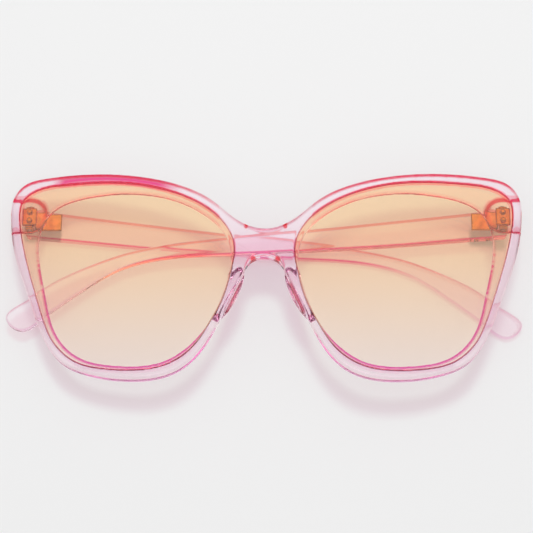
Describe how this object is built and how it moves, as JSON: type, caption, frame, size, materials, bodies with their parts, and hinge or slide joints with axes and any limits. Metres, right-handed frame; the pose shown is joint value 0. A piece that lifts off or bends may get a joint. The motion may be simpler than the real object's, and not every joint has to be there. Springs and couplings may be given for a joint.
{
  "type": "cat eye sunglasses",
  "caption": "Folding cat eye sunglasses: a see-through moulded front with nose pads, flush graded lenses and temples on screwed barrel hinges.",
  "frame": {"origin": "middle of the folded pair's bounding box, on the surface it lies on", "axes": "+X to the wearer's left, +Y to the top of the front, +Z the way the lenses face, away from the surface"},
  "size_m": [0.146, 0.0612, 0.0183],
  "materials": {
    "frame_plastic": "clear pale pink acetate, polished",
    "lens_plastic": "peach, fading to nearly clear at the bottom, polished",
    "hinge_metal": "gold-coloured, satin",
    "screw_metal": "plain steel"
  },
  "bodies": {
    "front": {"frame_front": "frame_plastic", "lens_left": "lens_plastic", "lens_right": "lens_plastic", "hinge_front_leaf_left": "hinge_metal", "hinge_front_leaf_right": "hinge_metal", "hinge_screw_left": "screw_metal", "hinge_screw_right": "screw_metal"},
    "temple_right": {"temple_right": "frame_plastic", "hinge_temple_leaf_right": "hinge_metal"},
    "temple_left": {"temple_left": "frame_plastic", "hinge_temple_leaf_left": "hinge_metal"}
  },
  "joints": [
    {"name": "right_hinge", "type": "hinge", "parent": "front", "child": "temple_right", "pos_m": [-0.06718, 0.01925, 0.0048], "axis": [0, 1, 0], "range_deg": [0, 88.5]},
    {"name": "left_hinge", "type": "hinge", "parent": "front", "child": "temple_left", "pos_m": [0.06718, 0.01925, 0.0083], "axis": [0, -1, 0], "range_deg": [0, 91.5]}
  ]
}
